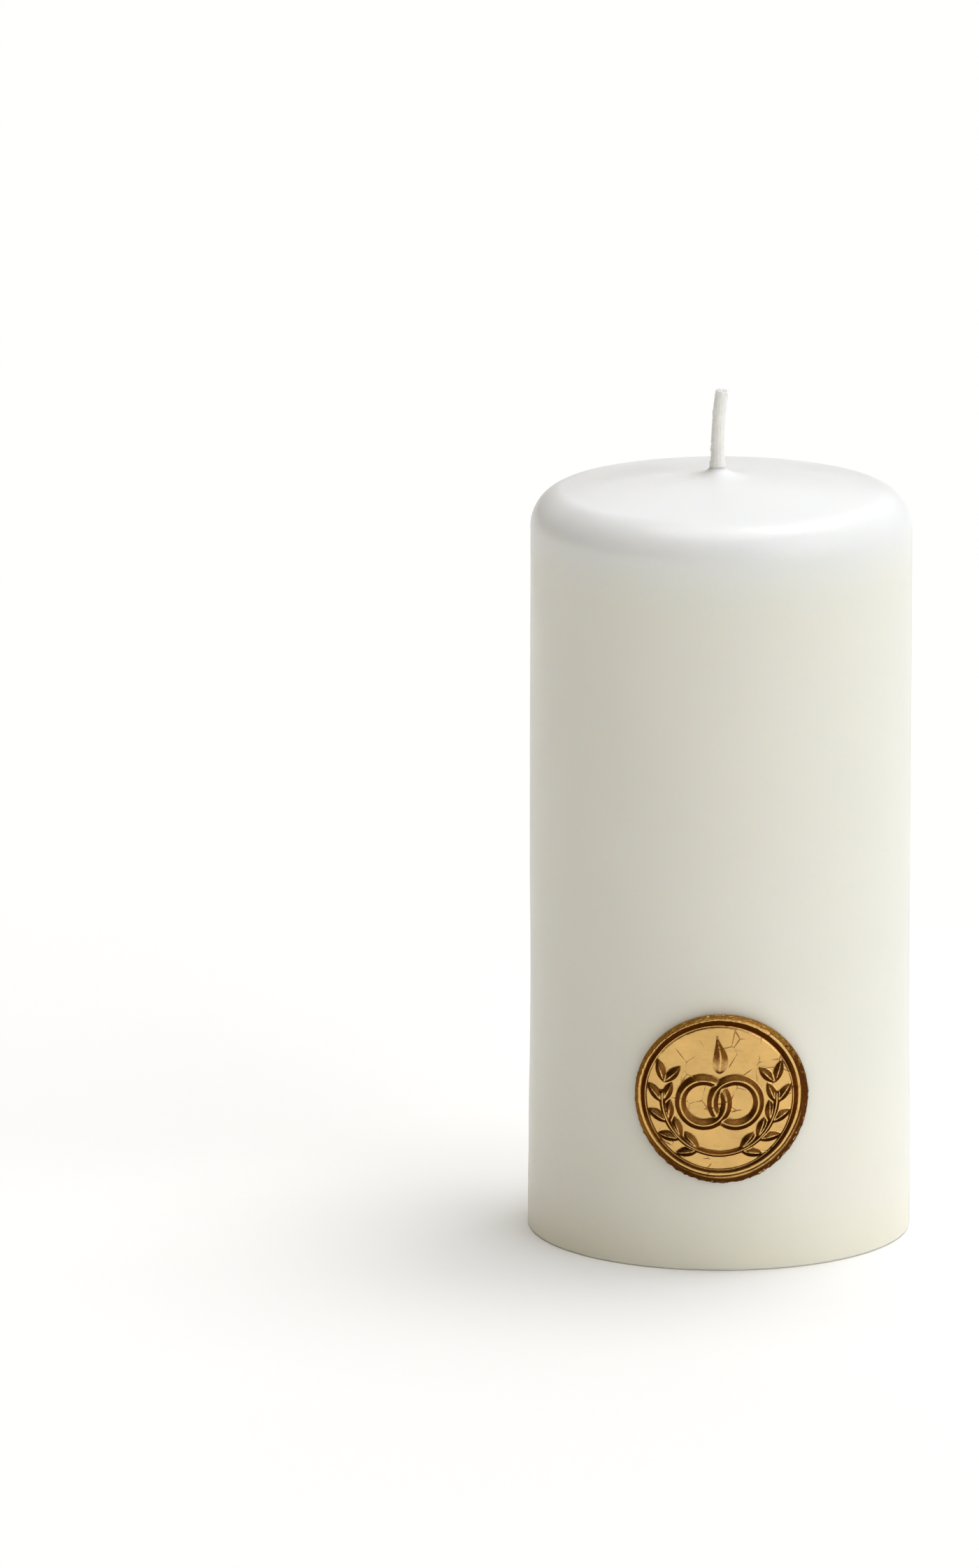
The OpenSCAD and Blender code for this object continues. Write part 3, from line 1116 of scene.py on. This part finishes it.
class CANDLE_OT_stage(bpy.types.Operator):
    """Sets the white floor, the soft light and the camera"""

    bl_idname = "candle.stage"
    bl_label = "Stage"

    def execute(self, context):
        sizes = context.scene.candle_stage
        clear_selection()
        bpy.ops.mesh.primitive_plane_add(size=14, location=(0, 0, 0))
        floor = bpy.context.active_object
        floor.name = "studio_floor"
        floor.data.materials.append(floor_paint(sizes.floor_glow))

        self.sun("key_light", (0.78, -0.62, 0.50), 50, sizes.key)
        self.sun("shoulder_light", (0.38, 0.22, 0.90), 34, sizes.shoulder)
        self.sun("overhead_light", (0.0, 0.0, 1.0), 50, sizes.overhead)
        self.sun("back_light", (0.2, 1.0, 0.8), 50, sizes.back)
        self.room(context.scene, sizes)
        self.camera(context.scene, sizes)
        context.scene.view_settings.view_transform = "Standard"
        return {"FINISHED"}

    @staticmethod
    def sun(name, towards, spread, strength):
        """A far, broad light that shines from a direction and fills an angle in degrees."""
        bpy.ops.object.light_add(type="SUN", location=towards)
        light = bpy.context.active_object
        light.name = name
        light.data.angle = math.radians(spread)
        light.data.energy = strength
        light.rotation_euler = Vector(towards).to_track_quat("Z", "Y").to_euler()

    @staticmethod
    def room(scene, sizes):
        """A white room: bright on the right, dim and warm on the left, and dark overhead.

        The camera itself sees plain white all round.
        """
        world = bpy.data.worlds.new("white_room")
        world.use_nodes = True
        scene.world = world
        nodes, links = world.node_tree.nodes, world.node_tree.links
        nodes.clear()
        split = nodes.new("ShaderNodeSeparateXYZ")
        links.new(nodes.new("ShaderNodeTexCoord").outputs["Generated"], split.inputs[0])

        def shades(axis, low, high):
            share = nodes.new("ShaderNodeMapRange")
            share.interpolation_type = "SMOOTHSTEP"
            share.inputs["From Min"].default_value = low
            share.inputs["From Max"].default_value = high
            links.new(split.outputs[axis], share.inputs["Value"])
            return share.outputs["Result"]

        def wall(colour, strength):
            light = nodes.new("ShaderNodeBackground")
            light.inputs["Color"].default_value = (*colour, 1.0)
            light.inputs["Strength"].default_value = strength
            return light.outputs[0]

        def between(share, first, second):
            mix = nodes.new("ShaderNodeMixShader")
            for socket, source in zip(mix.inputs, (share, first, second)):
                links.new(source, socket)
            return mix.outputs[0]

        sides = between(shades("X", -0.36, 0.6), wall((1.0, 0.66, 0.1), sizes.dim_side),
                        wall((0.95, 0.975, 1.0), sizes.bright_side))
        lit = between(shades("Z", 0.0, 0.85), sides, wall((1.0, 1.0, 1.0), 0.0))
        seen = nodes.new("ShaderNodeLightPath").outputs["Is Camera Ray"]
        whole = between(seen, lit, wall((1.0, 1.0, 1.0), 1.05))
        links.new(whole, nodes.new("ShaderNodeOutputWorld").inputs["Surface"])

    @staticmethod
    def camera(scene, sizes):
        """A long lens, far off and a little above the candle."""
        bpy.ops.object.camera_add(location=sizes.camera_place)
        camera = bpy.context.active_object
        camera.name = "camera"
        camera.data.lens = sizes.lens
        camera.data.sensor_width = 36
        aim = Vector(sizes.camera_aim) - Vector(sizes.camera_place)
        camera.rotation_euler = aim.to_track_quat("-Z", "Y").to_euler()
        camera.data.clip_end = 50
        scene.camera = camera


# ---------------------------------------------------------------- add-on

class CANDLE_PT_panel(bpy.types.Panel):
    """Lists the candle's pieces and their sizes"""

    bl_label = "Unity candle"
    bl_idname = "CANDLE_PT_panel"
    bl_space_type = "VIEW_3D"
    bl_region_type = "UI"
    bl_category = "Candle"

    def draw(self, context):
        for build, group in BUILD_ORDER:
            box = self.layout.box()
            box.operator(build.bl_idname)
            values = getattr(context.scene, group)
            for name in values.__annotations__:
                box.prop(values, name)


GROUPS = {
    "candle_coat": CandleCoat,
    "candle_wick": CandleWick,
    "candle_seal": CandleSeal,
    "candle_inside": CandleInside,
    "candle_stage": CandleStage,
}
BUILD_ORDER = [
    (CANDLE_OT_coat, "candle_coat"),
    (CANDLE_OT_wick, "candle_wick"),
    (CANDLE_OT_seal, "candle_seal"),
    (CANDLE_OT_inside, "candle_inside"),
    (CANDLE_OT_stage, "candle_stage"),
]


def register():
    for name, group in GROUPS.items():
        bpy.utils.register_class(group)
        setattr(bpy.types.Scene, name, PointerProperty(type=group))
    for build, _ in BUILD_ORDER:
        bpy.utils.register_class(build)
    bpy.utils.register_class(CANDLE_PT_panel)


def unregister():
    bpy.utils.unregister_class(CANDLE_PT_panel)
    for build, _ in reversed(BUILD_ORDER):
        bpy.utils.unregister_class(build)
    for name, group in reversed(GROUPS.items()):
        delattr(bpy.types.Scene, name)
        bpy.utils.unregister_class(group)


def main():
    register()
    bpy.ops.candle.coat()
    bpy.ops.candle.wick()
    bpy.ops.candle.seal()
    bpy.ops.candle.inside()
    bpy.ops.candle.stage()


if __name__ == "__main__":
    main()
